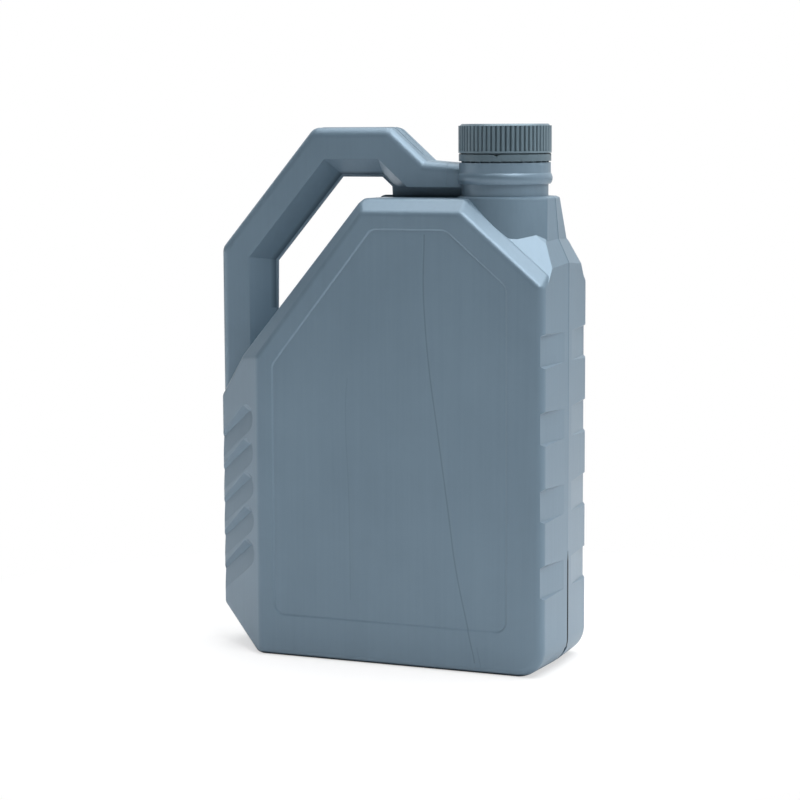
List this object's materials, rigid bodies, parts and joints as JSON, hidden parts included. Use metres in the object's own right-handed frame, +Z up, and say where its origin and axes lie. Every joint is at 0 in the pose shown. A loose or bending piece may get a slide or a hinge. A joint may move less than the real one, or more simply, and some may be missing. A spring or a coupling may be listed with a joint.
{
  "type": "lubricant jerry can",
  "caption": "Flat blow-moulded plastic oil can with a looped handle, bevelled shoulders, grip recesses and a ribbed screw cap over a tamper band.",
  "frame": {"origin": "middle of the can's outline on the plane it stands on", "axes": "+X from the handle side to the neck side, +Y from the front label face to the back one, +Z up"},
  "size_m": [0.207, 0.074, 0.2992],
  "materials": {
    "can_plastic": "satin blue-grey polyethylene",
    "cap_plastic": "satin blue-grey polypropylene",
    "liner_foam": "matt off-white foam wad"
  },
  "bodies": {
    "can": {"can_body": "can_plastic", "tamper_band": "cap_plastic"},
    "liner": {"cap_liner": "liner_foam"},
    "cap": {"screw_cap": "cap_plastic"}
  },
  "joints": [
    {"name": "cap_lift", "type": "slide", "parent": "can", "child": "liner", "axis": [0, 0, 1], "range_m": [0, 0.006]},
    {"name": "cap_turn", "type": "hinge", "parent": "liner", "child": "cap", "pos_m": [0.0664, 0, 0.29], "axis": [0, 0, 1], "range_deg": [0, 540]}
  ],
  "couplings": [
    {"joint": "cap_lift", "follows": "cap_turn", "m_per_rad": 0.000636}
  ]
}
